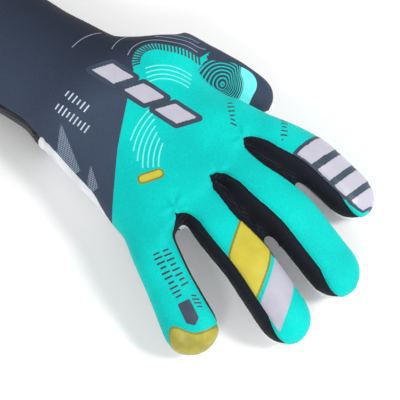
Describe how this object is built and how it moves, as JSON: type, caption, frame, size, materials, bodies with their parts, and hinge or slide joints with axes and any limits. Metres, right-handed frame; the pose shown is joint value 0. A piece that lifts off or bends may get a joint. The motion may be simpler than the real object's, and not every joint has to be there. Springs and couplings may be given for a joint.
{
  "type": "goalkeeper glove",
  "caption": "Strapless goalkeeper glove for the right hand: padded back, latex palm, mesh finger gussets, bending fingers, opening thumb and a long elastic cuff.",
  "frame": {"origin": "centre of the glove's box in plan, on the surface it lies on", "axes": "+Y from the cuff to the fingertips, +Z out of the back of the hand, thumb on the -X side"},
  "size_m": [0.1556, 0.2774, 0.0485],
  "materials": {
    "navy_neoprene": "matte fine knit over foam",
    "turquoise_neoprene": "matte fine knit over foam",
    "latex_palm": "matte latex foam",
    "black_mesh": "matte mesh",
    "elastic_knit": "matte ribbed knit",
    "grey_print": "satin silicone print",
    "yellow_print": "satin silicone print"
  },
  "bodies": {
    "hand": {"hand_back": "navy_neoprene", "hand_palm": "latex_palm", "hand_back_lining": "elastic_knit", "hand_palm_lining": "elastic_knit", "index_middle_web": "black_mesh", "middle_ring_web": "black_mesh", "ring_little_web": "black_mesh", "thumb_web": "black_mesh", "back_bar_1": "grey_print", "back_bar_2": "grey_print", "back_bar_3": "grey_print", "knuckle_tab": "yellow_print"},
    "cuff": {"cuff_back": "navy_neoprene", "cuff_palm": "elastic_knit", "cuff_binding": "black_mesh", "cuff_lining": "elastic_knit", "wrist_elastic": "black_mesh", "pull_tab": "black_mesh"},
    "index_base": {"index_base_back": "turquoise_neoprene", "index_base_palm": "latex_palm", "index_base_inner_gusset": "black_mesh"},
    "index_tip": {"index_tip_back": "turquoise_neoprene", "index_tip_palm": "latex_palm", "index_tip_inner_gusset": "black_mesh", "index_grip_print": "grey_print"},
    "middle_base": {"middle_base_back": "turquoise_neoprene", "middle_base_palm": "latex_palm", "middle_base_outer_gusset": "black_mesh", "middle_base_inner_gusset": "black_mesh"},
    "middle_tip": {"middle_tip_back": "turquoise_neoprene", "middle_tip_palm": "latex_palm", "middle_tip_outer_gusset": "black_mesh", "middle_tip_inner_gusset": "black_mesh"},
    "ring_base": {"ring_base_back": "turquoise_neoprene", "ring_base_palm": "latex_palm", "ring_base_outer_gusset": "black_mesh", "ring_base_inner_gusset": "black_mesh", "ring_patch_base": "yellow_print"},
    "ring_tip": {"ring_tip_back": "turquoise_neoprene", "ring_tip_palm": "latex_palm", "ring_tip_outer_gusset": "black_mesh", "ring_tip_inner_gusset": "black_mesh", "ring_patch_tip": "yellow_print", "ring_stripe": "grey_print"},
    "little_base": {"little_base_back": "turquoise_neoprene", "little_base_palm": "latex_palm", "little_base_outer_gusset": "black_mesh"},
    "little_tip": {"little_tip_back": "turquoise_neoprene", "little_tip_palm": "latex_palm", "little_tip_outer_gusset": "black_mesh", "little_cap": "yellow_print"},
    "thumb_base": {"thumb_base_back": "turquoise_neoprene", "thumb_base_palm": "latex_palm", "thumb_base_inner_gusset": "black_mesh"},
    "thumb_tip": {"thumb_tip_back": "navy_neoprene", "thumb_tip_palm": "latex_palm", "thumb_tip_inner_gusset": "black_mesh"}
  },
  "joints": [
    {"name": "wrist", "type": "hinge", "parent": "hand", "child": "cuff", "pos_m": [-0.00417, -0.0567, 0.021], "axis": [1, 0, 0], "range_deg": [-20, 20], "stiffness_Nm_per_rad": 0.25},
    {"name": "index_knuckle", "type": "hinge", "parent": "hand", "child": "index_base", "pos_m": [-0.04347, 0.04112, 0.02134], "axis": [-0.9989, -0.0478, 0], "range_deg": [-10, 60], "stiffness_Nm_per_rad": 0.06},
    {"name": "index_middle", "type": "hinge", "parent": "index_base", "child": "index_tip", "pos_m": [-0.04764, 0.07551, 0.01983], "axis": [-0.9989, -0.0478, 0], "range_deg": [-10, 60], "stiffness_Nm_per_rad": 0.03},
    {"name": "middle_knuckle", "type": "hinge", "parent": "hand", "child": "middle_base", "pos_m": [-0.01768, 0.0467, 0.02368], "axis": [-0.9988, 0.0487, 0], "range_deg": [-10, 60], "stiffness_Nm_per_rad": 0.06},
    {"name": "middle_middle", "type": "hinge", "parent": "middle_base", "child": "middle_tip", "pos_m": [-0.01251, 0.08854, 0.02267], "axis": [-0.9988, 0.0487, 0], "range_deg": [-10, 60], "stiffness_Nm_per_rad": 0.03},
    {"name": "ring_knuckle", "type": "hinge", "parent": "hand", "child": "ring_base", "pos_m": [0.01011, 0.04465, 0.02264], "axis": [-0.9951, 0.0985, 0], "range_deg": [-10, 60], "stiffness_Nm_per_rad": 0.06},
    {"name": "ring_middle", "type": "hinge", "parent": "ring_base", "child": "ring_tip", "pos_m": [0.02075, 0.08652, 0.02113], "axis": [-0.9951, 0.0985, 0], "range_deg": [-10, 60], "stiffness_Nm_per_rad": 0.03},
    {"name": "little_knuckle", "type": "hinge", "parent": "hand", "child": "little_base", "pos_m": [0.03509, 0.03114, 0.01892], "axis": [-0.9814, 0.1922, 0], "range_deg": [-10, 60], "stiffness_Nm_per_rad": 0.06},
    {"name": "little_middle", "type": "hinge", "parent": "little_base", "child": "little_tip", "pos_m": [0.04969, 0.05862, 0.01774], "axis": [-0.9814, 0.1922, 0], "range_deg": [-10, 60], "stiffness_Nm_per_rad": 0.03},
    {"name": "thumb_open", "type": "hinge", "parent": "hand", "child": "thumb_base", "pos_m": [-0.06803, -0.01126, 0.0177], "axis": [-0.1531, 0.0819, 0.9848], "range_deg": [0, 30], "stiffness_Nm_per_rad": 0.06},
    {"name": "thumb_middle", "type": "hinge", "parent": "thumb_base", "child": "thumb_tip", "pos_m": [-0.06503, 0.01158, 0.0121], "axis": [-0.9982, -0.06, 0], "range_deg": [-10, 40], "stiffness_Nm_per_rad": 0.03}
  ]
}
